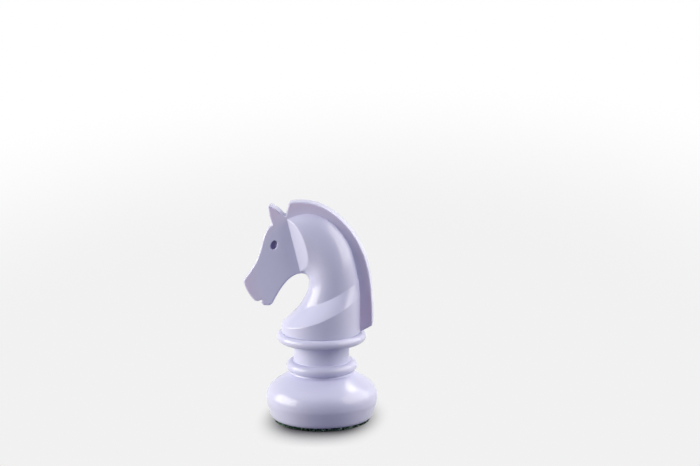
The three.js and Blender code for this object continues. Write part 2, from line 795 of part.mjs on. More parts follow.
// One half of the bust shell: side -1 is the horse's left, towards -Y, which carries the pins
function bustHalf(side, outside, inside) {
  const keep = block(TALL, TALL, 2 * TALL, 0, (side * TALL) / 2, 0);
  const bossBottom = BUST_BASE_TOP + FIT_GAP;
  const angles = screwAngles().filter((angle) => Math.sin(angle) * side > 0);
  const screwBosses = angles.map((angle) =>
    boss(BUST_SCREW_CIRCLE, angle, bossBottom, bossBottom + BUST_BOSS_HEIGHT, DRUM_RADIUS),
  );
  const places = PIN_PLACES.map(onBust);
  const pinBosses = places.map((place) => crossRod(PIN_BOSS_RADIUS, -TALL, TALL, place));
  const eyeCup = eyeRod(side, WALL, EYE_DEPTH + WALL);
  const inner = joined([...screwBosses, ...pinBosses, eyeCup]).intersect(outside);
  const cuts = angles.map((angle) => pilotHole(BUST_SCREW_CIRCLE, angle, bossBottom));
  cuts.push(eyeRod(side, 0, EYE_DEPTH));
  let half = outside.subtract(inside).add(inner).intersect(keep);
  if (side < 0) {
    const pins = places.map((place) => crossRod(PIN_RADIUS, -PIN_ROOT, PIN_LENGTH, place));
    half = half.add(joined(pins));
  } else {
    const depth = PIN_LENGTH + PIN_END_GAP;
    places.forEach((place) =>
      cuts.push(crossRod(PIN_RADIUS + FIT_GAP, -OVERSHOOT, depth, place)),
    );
  }
  return half.subtract(joined(cuts));
}

// Assembly

const root = new THREE.Group();

function place(name, solid, finish) {
  const mesh = new THREE.Mesh(geometryOf(solid), new THREE.MeshStandardMaterial(finish));
  mesh.name = name;
  root.add(mesh);
}

place("felt_pad", feltSolid(), FELT);
place("base_plate", basePlateSolid(), RIBBED_PLASTIC);
place("foot_shell", footSolid(), PLASTIC);
place("stem", stemSolid(), PLASTIC);
place("ballast_pad", ballastPadSolid(), RUBBER);
place("ballast_disc", ballastDiscSolid(), IRON);
place("ballast_washer", ballastWasherSolid(), STEEL);
place("ballast_nut", nutSolid(), STEEL);
place("ballast_bolt", ballastBoltSolid(), STEEL);
place("seat_washer", seatWasherSolid(), RUBBER);
place("bust_base", bustBaseSolid(), RIBBED_PLASTIC);

const outside = bustOutside();
const inside = bustInside();
place("bust_left_half", bustHalf(-1, outside, inside), PLASTIC);
place("bust_right_half", bustHalf(1, outside, inside), PLASTIC);

screwAngles().forEach((angle, i) => {
  place(`base_screw_${i + 1}`, screwSolid(BASE_SCREW_CIRCLE, angle, FOOT_BOTTOM), STEEL);
  place(`bust_screw_${i + 1}`, screwSolid(BUST_SCREW_CIRCLE, angle, BUST_BASE_BOTTOM), STEEL);
});

export default root;
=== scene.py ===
"""Looks of a giant garden chess knight

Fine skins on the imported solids, felt with loose fibres, materials, light and camera.
"""

import json
import math

import bmesh
import bpy
import numpy as np
from mathutils import Matrix, Vector
from mathutils.geometry import delaunay_2d_cdt


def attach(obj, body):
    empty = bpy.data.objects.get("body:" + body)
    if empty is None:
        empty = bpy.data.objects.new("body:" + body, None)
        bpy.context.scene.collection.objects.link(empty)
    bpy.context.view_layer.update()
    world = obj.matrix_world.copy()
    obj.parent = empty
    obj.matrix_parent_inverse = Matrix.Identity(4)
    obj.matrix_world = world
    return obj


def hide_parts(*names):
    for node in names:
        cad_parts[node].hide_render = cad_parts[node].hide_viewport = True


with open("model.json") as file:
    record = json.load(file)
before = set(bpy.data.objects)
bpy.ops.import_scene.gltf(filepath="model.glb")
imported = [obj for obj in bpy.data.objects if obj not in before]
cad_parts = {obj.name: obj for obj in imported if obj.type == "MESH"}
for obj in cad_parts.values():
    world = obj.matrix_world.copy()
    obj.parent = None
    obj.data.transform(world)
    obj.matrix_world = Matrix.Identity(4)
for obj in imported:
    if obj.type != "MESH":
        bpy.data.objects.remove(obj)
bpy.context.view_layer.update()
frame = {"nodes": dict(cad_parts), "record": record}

MM = 0.001

# Camera: degrees, pixels of the photograph's frame, metres
CAMERA_AZIMUTH, CAMERA_PITCH, CAMERA_ROLL = 5.0, 12.6, 0.2
CAMERA_DISTANCE = 5.69
FOCAL_LENGTH = 2917.0
FRAME_SIZE = (700, 466)
FOOT_PIXEL = (322.0, 418.1)  # where the origin shows
SENSOR_WIDTH = 36

# Light: warm lamps and a blue world, which give the white plastic its lavender shadows
WARM = (1, 0.985, 0.82)
COOL = (0.1, 0.1, 1, 1)
WHITE = (1, 1, 1, 1)
WORLD_LIGHT = 0.18
LAMP_DISTANCE = 2.2
LAMP_AIM = (0, 0, 0.2)
LAMPS = {  # azimuth, elevation, size, power
    "left": (-77, 12, (2.2, 1.6), 77),
    "left_high": (-30, 68, (1.6, 1.4), 4),
    "right": (95, 31, (2.8, 2.1), 62),
    "right_front": (64, 18, (0.7, 1.1), 6),
    "back": (136, 50, (0.7, 0.5), 9),
}

# Floor: mesh in millimetres, shading in metres
FLOOR_LEVEL = -0.1
FLOOR_RADII = [120, 300, 700, 1500, 4000, 12000, 30000]
FLOOR_STEPS = 96
FLOOR_TONE = (0.14, 0.14, 0.19, 1)  # in the light that it throws back onto the object
FLOOR_TONE_SEEN = (0.1, 0.1, 0.115, 1)
FLOOR_LIFT = 0.79  # glow added where nothing stands close above the floor; where something does, it fades as a painted contact shadow
SHADE_REACH = 0.1
SHADE_POWER = 3.4
SHADE_OVAL = (2.1, 1, 1)  # the shaded ground, with its painted contact shadow, reaches less far along X
SHADE_FADE = (0.13, 0.28)  # from the shaded ground to the pale floor
PALE = 0.88  # of white, near the object: a painted shadow pool that lightens to white further off
PALE_FADE = (1.6, 4.0)  # from the pale floor to the white distance

# Fineness of the skins, in steps
ROUND = 224  # of a turned skin
POST_STEPS = 32
CORNER_STEPS = 6
FOOT_STEPS, FOOT_BAND_STEPS, FOOT_EDGE_STEPS = 140, 12, 8
LOWER_BEAD_STEPS, UPPER_BEAD_STEPS = 68, 64
COLUMN_STEPS = 40
BORE_STEPS = 12
BASE_SIDE_STEPS = 8
LONGEST_CUT = 0.45  # of a side, at a rounded corner
SHARP = 32  # edges over this angle stay crisp, in degrees

# Sizes of the solids that the skins follow, in millimetres
WALL = 4
FIT_GAP = 0.3
FELT_THICKNESS = 6
FELT_RADIUS = 91.5
FOOT_PROFILE = [(93, 0), (102.8, 16), (107, 31), (107.8, 41), (103.6, 56), (87, 72), (62, 87)]
FOOT_BAND = (33.5, 8, 0.29, 4.5)  # lower band: top, bottom, taper, softness of its upper edge
FOOT_OUTSET = 0.5  # of the shell's lowest edge from the profile
COLLAR_DEPTH = 12
STEM_TAIL_LENGTH = 14
STEM_RIM_INSET = 0.2
BASE_PLATE_THICKNESS = 4
BOSS = (5.5, 30)  # radius, length
LOWER_BEAD = (58.2, 101.8, 10.3)  # radius, height above the felt, tube
UPPER_BEAD = (76.6, 159.9, 9.6)
LOWER_BEAD_START = -82  # degrees
CREASE = (0.3, 2.2)  # from the lower bead's start, outwards and down
COLUMN_RADIUS = 54.8
COLUMN_WAIST = 1
BORE_RADIUS = 49.8
THREAD_HEIGHT = 3
THREAD_WIDTH = 4
THREAD_TAPER = 0.75
THREAD_LEAD = 20
THREAD_DEPTH = 20
STEM_THREAD = (0.5, 0)  # turns, angle of its start
SPIGOT_THREAD = (0.75, math.pi / 4)
RIB_SINK = 0.5  # of a rib's root in its wall
RIB_BEVEL = (0.6, 0.1, 0.5)  # of a rib's crest: depth, reach down the flank and on the crest
RIB_RUN_OUT = (12, 0.12)  # how steeply a rib rises from its end, and from what share
CHANNEL = (59.8, 71.8, 14)  # inner radius, outer radius, depth
SPIGOT_RADIUS = 46.1
SPIGOT_LENGTH = 27
WASHER = (46.4, 58.8, 2)  # inner radius, outer radius, thickness
WASHER_EDGE = 0.45
BUST_BASE_RADIUS = 72.9
BUST_BASE_THICKNESS = 5
SCREW_EDGE_DISTANCE = 6.4
SCREW_COUNT = 6
SCREW_HOLE = (5.3, 2.6, 2.7)  # radius at its mouth, radius inside, depth of its cone
CUTTER_MARGIN = 1  # above and below what it cuts
DRUM_RADIUS = 77.2
DRUM_EDGE = 0.4
DRUM_INSIDE_HEIGHT = 8  # of the skin inside the drum
RIM_FRONT_HEIGHT = 15.4
RIM_SLOPE = 0.386
RIM_DIP = 11.7
PLATE_HALF = 14
PLATE_ROOT = 18
MANE_FOOT_RISE = 2.7
EYE = (-89.5, 171.2, 9, 6, 20, 6)  # x, height, half length, half width, tilt, depth

# Bust: [x, height above its underside]
CHEST = (20, 24.2)
THROAT = [(-22, 86.2), (-22.5, 103.2), (-28, 113.7), (-38, 115.7), (-55, 109.2), (-74, 89.2),
          (-88, 66.2), (-93, 56.2)]
MOUTH = [(-99, 51.2), (-111, 51.7), (-115, 56.2), (-114, 62.7), (-122, 59.2)]
NOSE = [(-128, 60.2), (-140, 75.2), (-147.5, 91.2), (-149.5, 98.2)]
FACE = [(-148.5, 102.2), (-137, 118.2), (-126, 134.2), (-118.5, 154.2), (-112, 176.2),
        (-106, 194.2), (-99, 206.2)]
EAR = [(-93, 211.2), (-98, 228.2), (-100.5, 247.2), (-95, 248.2), (-82, 240.2), (-70, 228.7),
       (-66, 228.2), (-64, 241.2)]
MANE = [(-60, 254.2), (-38, 256.2), (-15, 254.2), (6, 246.2), (28, 232.7), (49, 213.7),
        (66, 191.2), (79.5, 167.2), (89.5, 138.2), (96, 104.2), (99, 69.2), (99.5, 15.2)]
NECK_FRONT = [(-42, 50.2), (-29, 74.2), (-24, 94.2), (-24, 106.2), (-29, 113.2), (-34, 115.2),
              (-38.5, 116.2)]
NECK_BACK = [(76, 105.2), (69.5, 134.2), (57, 175.2), (33.5, 209.2), (8, 229.2), (-28, 237.2),
             (-65, 226.2)]
NECK_HALF_WIDTHS = [50.7, 49.5, 47.5, 45, 42.5, 40, 38]
NECK_DROOPS = [6, 3, 1, 0, 0, 0, 0]
FACET_ANGLE = 45

SEAT = FELT_THICKNESS + UPPER_BEAD[1] + UPPER_BEAD[2]
BUST_BOTTOM = SEAT + FIT_GAP
LID = SEAT + WASHER[2]

# Finer forms of the bust's skins, in millimetres unless given otherwise
BODY_STEPS = 193  # points of a row from the back to the front
DRUM_EDGE_ROWS, DRUM_ROWS, RIM_ROWS = 6, 13, 6
BAND_ROWS, CREST_ROWS = 13, 8
NECK_ROWS = 150
CLOSING_ROWS = 48
FRONT_START, FRONT_BLEND = 1.9, 0.9  # radians from the back, where the softer front begins
RIM_CUT = (1.3, 1.4)  # rounding of the drum's rim, and what the front adds
BAND_CUT = (1.3, 14)  # rounding between band and neck, and what the front adds
FACET_SOFTNESS = 1.3
FACET_REACH, FACET_FADE = 85, 10  # down from its middle, and the length that it ends over
THROAT_STEPS, NOSE_STEPS = 160, 50
FACE_CURVE, MANE_CURVE = (130, 4), (400, 7)  # steps, degree
OUTLINE_STEP = 0.25
MOUTH_CENTRE, MOUTH_REACH = (-115, 58), 12
MOUTH_SOFTNESS, OUTLINE_SOFTNESS = 0.8, 1.5
BEND_BLUR, SPACING_BLUR, EDGE_BLUR = 2, 6, 3  # in points of the outline
POINT_TURN, POINT_SPACING = 0.16, (0.28, 1.8)  # radians between kept points, and their distances
EDGE_SHARE, EDGE_LIMITS = 0.8, (0.3, 3.2)  # rounding of the plate's edges, by a bend's radius
EDGE_FLATTEST = 0.05  # bend under which an edge counts as straight
EDGE_STEPS = 8
PLATE_ROWS = (0, 5, 11)  # distances from the seam
SIDE_INSET = 1.2  # of the flat side, in roundings of the edge
EYE_STEPS = 72
EYE_RIM, EYE_RIM_STEPS = 1.7, 9
EYE_MARGIN = 0.5  # of flat side around the rim
BUST_SHARP = 24
MANE_OVAL = (-25, 120, 125, 137)  # x, height, half width, half length; rosier outside it
SIDE_TOLERANCE = 0.5  # for points on the plate's flat side

# Felt: a little wider than its solid, for the ripples
FELT_STEPS = 720
FELT_PROFILE = [(0, 0), (60, 0), (86, 0), (91.2, 0), (91.8, 0.3), (92.1, 0.9), (92.3, 2),
                (92.35, 3), (92.3, 4), (92.1, 5.2), (91.8, 5.7), (91.2, 6), (86, 6), (60, 6),
                (0, 6)]
FELT_SHARP, FUZZ_SHARP = 60, 180
RIPPLES = 60
RIPPLE_RATES = (40, 170)  # waves in a turn
RIPPLE_SIZE = 0.16
RIPPLE_START = 88  # radius
STRANDS = 2600
STRAND_PARTS = 3
STRAND_LENGTHS = (0.8, 2.4)
STRAND_HEIGHTS = (0.3, 5.7)  # of their roots
STRAND_LIMITS = (0.1, 5.75)  # lowest and highest point
STRAND_LEAN = 0.9  # outwards
STRAND_BEND = 0.5
STRAND_ROOT, STRAND_NEAREST = 0.5, 0.3  # distances from the felt's radius
STRAND_RADIUS = 0.1
STRAND_TAPER = 0.2  # less radius with each part
STRAND_FLATNESS = 0.3
STRAND_CORNERS = (0, 2.1, 4.2)  # radians, round a strand


# Camera, at the photograph's viewing angle

def direction(azimuth, elevation):
    """Unit vector from the object: azimuth 0 is in front, 90 is on the right (+X)"""
    a, e = math.radians(azimuth), math.radians(elevation)
    return Vector((math.sin(a) * math.cos(e), -math.cos(a) * math.cos(e), math.sin(e)))


def make_camera():
    width, height = FRAME_SIZE
    azimuth, roll = math.radians(CAMERA_AZIMUTH), math.radians(CAMERA_ROLL)
    back = direction(CAMERA_AZIMUTH, CAMERA_PITCH)
    level = Vector((math.cos(azimuth), math.sin(azimuth), 0))
    rise = back.cross(level)
    right = level * math.cos(roll) - rise * math.sin(roll)
    up = level * math.sin(roll) + rise * math.cos(roll)
    ray = (
        right * ((FOOT_PIXEL[0] - width / 2) / FOCAL_LENGTH)
        + up * ((height / 2 - FOOT_PIXEL[1]) / FOCAL_LENGTH)
        - back
    ).normalized()
    data = bpy.data.cameras.new("camera")
    data.sensor_fit = "HORIZONTAL"
    data.sensor_width = SENSOR_WIDTH
    data.lens = FOCAL_LENGTH / width * SENSOR_WIDTH
    data.clip_end = 100
    camera = bpy.data.objects.new("camera", data)
    turn = Matrix((right, up, back)).transposed().to_4x4()
    camera.matrix_world = Matrix.Translation(-ray * CAMERA_DISTANCE) @ turn
    bpy.context.scene.collection.objects.link(camera)
    bpy.context.scene.camera = camera


# Curves

def lengths(points):
    """Distance along the polyline to each of its points"""
    return np.concatenate([[0], np.cumsum(np.linalg.norm(np.diff(points, axis=0), axis=1))])


def unit(vectors):
    return vectors / np.linalg.norm(vectors, axis=1)[:, None]


def around(steps):
    """Evenly spread angles of a full turn"""
    return np.arange(steps) * 2 * math.pi / steps


def eased_step(x):
    """From 0 to 1 with a smooth start and end"""
    x = np.clip(x, 0, 1)
    return x**2 * (3 - 2 * x)


def spline(points, count):
    """Natural cubic spline through the points, at evenly spread places"""
    values = np.array(points, float)
    knots = lengths(values)
    return spline_at(knots, values, np.linspace(knots[0], knots[-1], count))


def spline_at(knots, values, places):
    """Natural cubic spline through the values at the knots, read at the places"""
    n = len(knots)
    gaps = np.diff(knots)
    system = np.eye(n)
    right = np.zeros_like(values)
    for i in range(1, n - 1):
        system[i, i - 1 : i + 2] = gaps[i - 1], 2 * (gaps[i - 1] + gaps[i]), gaps[i]
        right[i] = 6 * (
            (values[i + 1] - values[i]) / gaps[i] - (values[i] - values[i - 1]) / gaps[i - 1]
        )
    bend = np.linalg.solve(system, right)
    i = np.clip(np.searchsorted(knots, places, side="right") - 1, 0, n - 2)
    h = gaps[i][:, None]
    a = (knots[i + 1] - places)[:, None] / h
    b = 1 - a
    return (
        a * values[i]
        + b * values[i + 1]
        + ((a**3 - a) * bend[i] + (b**3 - b) * bend[i + 1]) * h**2 / 6
    )


def eased(points, count, degree):
    """Smooth curve of low degree close to the points, through the first and the last"""
    values = np.array(points, float)
    s = lengths(values)
    s /= s[-1]
    places = np.linspace(0, 1, count)
    start, end = values[0], values[-1]
    bubble = (s * (1 - s))[1:-1]
    basis = np.stack([bubble * s[1:-1] ** k for k in range(degree - 1)], axis=1)
    rest = (values - start - np.outer(s, end - start))[1:-1]
    found = np.linalg.lstsq(basis, rest, rcond=None)[0]
    wide = np.stack([places * (1 - places) * places**k for k in range(degree - 1)], axis=1)
    return start + np.outer(places, end - start) + wide @ found


def line(start, end, count=2):
    return np.linspace(start, end, count)


def arc(radius, height, tube, first, last, count):
    angles = np.radians(np.linspace(first, last, count))
    return np.stack([radius + tube * np.cos(angles), height + tube * np.sin(angles)], axis=1)


def bezier(a, corner, b, count):
    """Points of the curve from a to b that bends at the corner, without a itself"""
    return [
        (1 - u) ** 2 * a + 2 * u * (1 - u) * corner + u**2 * b
        for u in np.linspace(0, 1, count + 1)[1:]
    ]


def between(a, b, count):
    """Evenly spread rows from a to b, without a itself"""
    return [a * (1 - share) + b * share for share in np.linspace(0, 1, count + 1)[1:]]


def trimmed(curve, start, end):
    """The polyline without the given lengths at its two ends"""
    s = lengths(curve)
    longest = LONGEST_CUT * s[-1]
    start, end = min(start, longest), min(end, longest)
    kept = (s > start + 1e-6) & (s < s[-1] - end - 1e-6)
    ends = [[np.interp(d, s, curve[:, k]) for k in (0, 1)] for d in (start, s[-1] - end)]
    return np.vstack([ends[0], curve[kept], ends[1]])


def chained(pieces):
    """Closed loop along (curve, length cut at the corner after it), with each corner rounded"""
    loop = []
    for i, (curve, cut) in enumerate(pieces):
        before = pieces[i - 1][1]
        after, next_cut = pieces[(i + 1) % len(pieces)]
        shown = trimmed(curve, before, cut)
        loop.extend(shown)
        if cut:
            start = trimmed(after, cut, next_cut)[0]
            loop.extend(bezier(shown[-1], curve[-1], start, CORNER_STEPS)[:-1])
    loop = np.array(loop)
    step = np.linalg.norm(loop - np.roll(loop, 1, axis=0), axis=1)
    return loop[step > 1e-5]


def polygon(corners, steps=2):
    """Closed loop through (corner, length cut at it), with each corner rounded"""
    return chained([
        (line(start, end, steps), cut)
        for (start, _), (end, cut) in zip(corners, corners[1:] + corners[:1])
    ])


def signed_area(loop):
    """Twice the area inside the loop, below 0 where the loop runs clockwise"""
    x, z = loop[:, 0], loop[:, 1]
    return np.sum(x * np.roll(z, -1) - np.roll(x, -1) * z)


def smoothed(values, width):
    """The columns of a closed row of values, each blurred along the row"""
    reach = int(4 * width) + 1
    kernel = np.exp(-0.5 * (np.arange(-reach, reach + 1) / width) ** 2)
    kernel /= kernel.sum()
    padded = np.vstack([values[-reach:], values, values[:reach]])
    return np.stack([np.convolve(column, kernel, "valid") for column in padded.T], axis=1)


def sampled(values, s, places):
    """The columns of a closed row of values, which stand at s, read at the places"""
    closed = np.vstack([values, values[:1]])
    return np.stack([np.interp(places, s, column) for column in closed.T], axis=1)


# Meshes

def make_object(name, points, faces, sharp=SHARP):
    """A smooth-shaded object from millimetres, with the edges over the sharp angle kept crisp"""
    mesh = bpy.data.meshes.new(name)
    mesh.from_pydata((np.asarray(points) * MM).tolist(), [], faces)
    finish_mesh(mesh, sharp)
    made = bpy.data.objects.new(name, mesh)
    bpy.context.scene.collection.objects.link(made)
    return made


def finish_mesh(mesh, sharp):
    work = bmesh.new()
    work.from_mesh(mesh)
    bmesh.ops.remove_doubles(work, verts=work.verts, dist=1e-7)
    bmesh.ops.dissolve_degenerate(work, edges=work.edges, dist=1e-7)
    limit = math.radians(sharp)
    for face in work.faces:
        face.smooth = True
    for edge in work.edges:
        edge.smooth = len(edge.link_faces) != 2 or edge.calc_face_angle(0) < limit
    work.to_mesh(mesh)
    work.free()


def turned(loop, steps=ROUND):
    """Points and faces of a closed loop of (radius, height) turned about the axis, facing out"""
    loop = np.asarray(loop, float)
    if signed_area(loop) < 0:
        loop = loop[::-1]
    angles = around(steps)
    points = np.stack([
        np.outer(np.cos(angles), loop[:, 0]),
        np.outer(np.sin(angles), loop[:, 0]),
        np.outer(np.ones(steps), loop[:, 1]),
    ], axis=2).reshape(-1, 3)
    m = len(loop)
    i, j = np.meshgrid(np.arange(steps), np.arange(m), indexing="ij")
    k, l = (i + 1) % steps, (j + 1) % m
    faces = np.stack([i * m + j, k * m + j, k * m + l, i * m + l], axis=2).reshape(-1, 4)
    return points, faces.tolist()


def joined(parts):
    points, faces, start = [], [], 0
    for p, f in parts:
        points.append(np.asarray(p, float))
        faces.extend([[v + start for v in face] for face in f])
        start += len(p)
    return np.vstack(points), faces


def ring_faces(rows, m):
    """Faces between neighbours in a row of closed rings of m points"""
    faces = []
    for i in range(rows - 1):
        for j in range(m):
            k = (j + 1) % m
            faces.append([i * m + j, i * m + k, (i + 1) * m + k, (i + 1) * m + j])
    return faces


def grid_mesh(grid):
    n, m = grid.shape[:2]
    i, j = np.meshgrid(np.arange(n - 1), np.arange(m - 1), indexing="ij")
    faces = np.stack([i * m + j, i * m + j + 1, (i + 1) * m + j + 1, (i + 1) * m + j], axis=2)
    return grid.reshape(-1, 3), faces.reshape(-1, 4).tolist()


def swept(rings):
    """Closed tube over a row of rings with the same number of points"""
    rings = np.asarray(rings, float)
    n, m = rings.shape[:2]
    faces = ring_faces(n, m)
    faces.append(list(range(m))[::-1])
    faces.append([(n - 1) * m + j for j in range(m)])
    return rings.reshape(-1, 3), faces


def post(x, y, sections):
    """Upright round post through (radius, height) sections"""
    return swept([
        [(x + radius * math.cos(a), y + radius * math.sin(a), height) for a in around(POST_STEPS)]
        for radius, height in sections
    ])


def screw_places(circle):
    """Centres of the screws on a circle"""
    angles = [(i + 0.5) * 2 * math.pi / SCREW_COUNT for i in range(SCREW_COUNT)]
    return [(circle * math.cos(a), circle * math.sin(a)) for a in angles]


def thread_ribs(root, tip, bottom, turn, start):
    """Two thread ribs, opposite each other, that run out at both ends"""
    outward = 1 if tip > root else -1
    half = THREAD_WIDTH / 2
    flank = half * THREAD_TAPER
    bevel, down, along = RIB_BEVEL
    steepness, least = RIB_RUN_OUT
    count = int(turn * ROUND)
    parts = []
    for first in (start, start + math.pi):
        rings = []
        for i in range(count + 1):
            share = i / count
            angle = first + turn * 2 * math.pi * share
            middle = bottom + THREAD_LEAD * turn * share
            full = min(1, steepness * share + least, steepness * (1 - share) + least)
            crest = root + (tip - root) * math.sin(full * math.pi / 2)
            edge = crest - outward * bevel * full
            ring = [
                (root, -half),
                (edge, -flank - down),
                (crest, -flank + along),
                (crest, flank - along),
                (edge, flank + down),
                (root, half),
            ]
            rings.append([
                (r * math.cos(angle), r * math.sin(angle), middle + z) for r, z in ring[::outward]
            ])
        parts.append(swept(rings))
    return joined(parts)


def dress(skin, body, slot, node):
    """Gives a skin its material, hides the node that it replaces and attaches it to the body that
    it rides on
    """
    skin.data.materials.clear()
    skin.data.materials.append(MATERIALS[slot])
    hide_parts(node)
    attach(skin, body)


# Pedestal

def foot_curve():
    """Outer profile: a tapered band under the bulge, with a soft edge between them"""
    whole = spline(FOOT_PROFILE, FOOT_STEPS)
    upper = whole[np.argmax(whole[:, 0]) :]
    top, bottom, taper, soft = FOOT_BAND
    start = np.array([upper[0][0], top])
    low = np.array([start[0] - taper * (top - bottom), bottom])
    bend = low + (start - low) * (1 - soft / (top - bottom))
    edge = bezier(bend, start, start + [0, soft], FOOT_EDGE_STEPS)
    corner = np.array([low[0] - taper * bottom, 0])
    lowest = np.array([FOOT_PROFILE[0][0] + FOOT_OUTSET, 0])
    under = bezier(lowest, corner, low, FOOT_BAND_STEPS)
    band = line(low, bend, FOOT_BAND_STEPS)[1:]
    curve = np.vstack([[lowest], under, band, edge, upper])
    keep = np.concatenate([[True], np.linalg.norm(np.diff(curve, axis=0), axis=1) > 1e-4])
    curve = curve[keep]
    curve[:, 1] += FELT_THICKNESS
    return curve


def make_foot():
    outer = foot_curve()
    slope = unit(np.gradient(outer, axis=0))
    inner = (outer + WALL * np.stack([-slope[:, 1], slope[:, 0]], axis=1))[::-1][2:-3]
    top = outer[-1][1]
    collar = BORE_RADIUS + WALL + FIT_GAP
    hem = top - COLLAR_DEPTH
    lip = (FOOT_PROFILE[0][0] - WALL, FELT_THICKNESS)
    loop = chained([
        (line(lip, outer[0]), 1.1),
        (outer, 0.15),
        (line(outer[-1], (collar, top)), 0.5),
        (line((collar, top), (collar, hem)), 0.3),
        (line((collar, hem), (collar + WALL, hem)), 0.3),
        (line((collar + WALL, hem), (collar + WALL, top - WALL)), 0),
        (line((collar + WALL, top - WALL), inner[0]), 0),
        (inner, 0),
        (line(inner[-1], lip), 0),
    ])
    radius, length = BOSS
    circle = FOOT_PROFILE[0][0] - WALL - 2 * FIT_GAP - SCREW_EDGE_DISTANCE
    bottom = FELT_THICKNESS + BASE_PLATE_THICKNESS + FIT_GAP
    parts = [turned(loop)]
    for x, y in screw_places(circle):
        parts.append(post(x, y, [(radius, bottom), (radius, bottom + length)]))
    skin = make_object("foot_skin", *joined(parts))
    dress(skin, "pedestal", "gloss_shell", "foot_shell")


def make_stem():
    rim, shoulder = foot_curve()[-1] + [-STEM_RIM_INSET, FIT_GAP]
    tail = shoulder - STEM_TAIL_LENGTH
    low_radius, low_height, low_tube = LOWER_BEAD
    high_radius, high_height, high_tube = UPPER_BEAD
    low_height += FELT_THICKNESS
    high_height += FELT_THICKNESS
    meet = math.degrees(math.acos((COLUMN_RADIUS - low_radius) / low_tube))
    lower = arc(low_radius, low_height, low_tube, LOWER_BEAD_START, meet, LOWER_BEAD_STEPS)
    upper = arc(high_radius, high_height, high_tube, -90, 90, UPPER_BEAD_STEPS)
    crease = (lower[0][0] + CREASE[0], lower[0][1] - CREASE[1])
    along = np.linspace(-1, 1, COLUMN_STEPS)
    heights = np.linspace(lower[-1][1], high_height - high_tube, COLUMN_STEPS)
    column = np.stack([COLUMN_RADIUS - COLUMN_WAIST * (1 - along**2), heights], axis=1)
    inner, outer, depth = CHANNEL
    floor = SEAT - depth
    wall = BORE_RADIUS + WALL
    loop = chained([
        (line((wall, tail), (wall, shoulder)), 0.3),
        (line((wall, shoulder), (rim, shoulder)), 0.12),
        (line((rim, shoulder), crease), 1.0),
        (line(crease, lower[0]), 0.9),
        (lower, 1.4),
        (column, 1.6),
        (line(column[-1], upper[0]), 0),
        (upper, 0),
        (line(upper[-1], (outer, SEAT)), 0.9),
        (line((outer, SEAT), (outer, floor)), 1.5),
        (line((outer, floor), (inner, floor)), 1.5),
        (line((inner, floor), (inner, SEAT)), 0.9),
        (line((inner, SEAT), (BORE_RADIUS, SEAT)), 1.1),
        (line((BORE_RADIUS, SEAT), (BORE_RADIUS, tail), BORE_STEPS), 0.3),
        (line((BORE_RADIUS, tail), (wall, tail)), 0.3),
    ])
    root, tip = BORE_RADIUS + RIB_SINK, BORE_RADIUS - THREAD_HEIGHT
    ribs = thread_ribs(root, tip, SEAT - THREAD_DEPTH, *STEM_THREAD)
    skin = make_object("stem_skin", *joined([turned(loop), ribs]))
    dress(skin, "pedestal", "gloss_shell", "stem")


# Washer and base of the bust

def make_washer():
    inner, outer, thickness = WASHER
    corners = [(inner, SEAT), (outer, SEAT), (outer, SEAT + thickness), (inner, SEAT + thickness)]
    loop = polygon([(corner, WASHER_EDGE) for corner in corners])
    skin = make_object("washer_skin", *turned(loop))
    dress(skin, "washer", "rubber", "seat_washer")


def without(skin, cutter):
    """Mesh of the skin less the cutter, which is removed"""
    hole = skin.modifiers.new("holes", "BOOLEAN")
    hole.operation = "DIFFERENCE"
    hole.solver = "EXACT"
    hole.object = cutter
    bpy.context.view_layer.update()
    shown = skin.evaluated_get(bpy.context.evaluated_depsgraph_get())
    mesh = bpy.data.meshes.new_from_object(shown)
    skin.modifiers.clear()
    bpy.data.objects.remove(cutter)
    return mesh


def make_bust_base():
    foot = SEAT - SPIGOT_LENGTH
    bore = SPIGOT_RADIUS - WALL
    top = LID + BUST_BASE_THICKNESS
    loop = polygon([
        ((0, LID), 0), ((bore, LID), 1.5), ((bore, foot), 0.8), ((SPIGOT_RADIUS, foot), 1.2),
        ((SPIGOT_RADIUS, LID), 1.6), ((BUST_BASE_RADIUS, LID), 0.5),
        ((BUST_BASE_RADIUS, top), 0.5), ((0, top), 0),
    ], BASE_SIDE_STEPS)
    skin = make_object("bust_base_skin", *turned(loop))
    mouth, inside, cone = SCREW_HOLE
    hole = [(mouth, LID - CUTTER_MARGIN), (inside, LID + cone), (inside, top + CUTTER_MARGIN)]
    holes = [post(x, y, hole) for x, y in screw_places(BUST_BASE_RADIUS - SCREW_EDGE_DISTANCE)]
    body = without(skin, make_object("cutter", *joined(holes)))
    root, tip = SPIGOT_RADIUS - RIB_SINK, SPIGOT_RADIUS + THREAD_HEIGHT
    # Midway between the stem's ribs, which have risen by an eighth of the lead at this angle
    bottom = SEAT - THREAD_DEPTH - THREAD_LEAD / 4 + THREAD_LEAD / 8
    points, faces = thread_ribs(root, tip, bottom, *SPIGOT_THREAD)
    ribs = bpy.data.meshes.new("ribs")
    ribs.from_pydata((points * MM).tolist(), [], faces)
    work = bmesh.new()
    work.from_mesh(body)
    work.from_mesh(ribs)
    work.to_mesh(body)
    work.free()
    finish_mesh(body, SHARP)
    skin.data = body
    dress(skin, "bust", "inner_plastic", "bust_base")


# Felt

def make_felt():
    rng = np.random.default_rng(7)
    make_pad(rng)
    make_fuzz(rng)


def make_pad(rng):
    """The felt itself, with an uneven edge"""
    points, faces = turned(FELT_PROFILE, FELT_STEPS)
    radius = np.hypot(points[:, 0], points[:, 1])
    angle = np.arctan2(points[:, 1], points[:, 0])
    ripple = np.zeros(len(points))
    for rate in rng.integers(*RIPPLE_RATES, RIPPLES):
        phase, tall = rng.uniform(0, 2 * math.pi, 2)
        ripple += np.cos(rate * angle + phase + tall * points[:, 2] / 3)
    ripple *= RIPPLE_SIZE * (radius > RIPPLE_START)
    points[:, :2] *= (1 + ripple / np.maximum(radius, 1))[:, None]
    felt = make_object("felt_skin", points, faces, FELT_SHARP)
    dress(felt, "pedestal", "felt", "felt_pad")


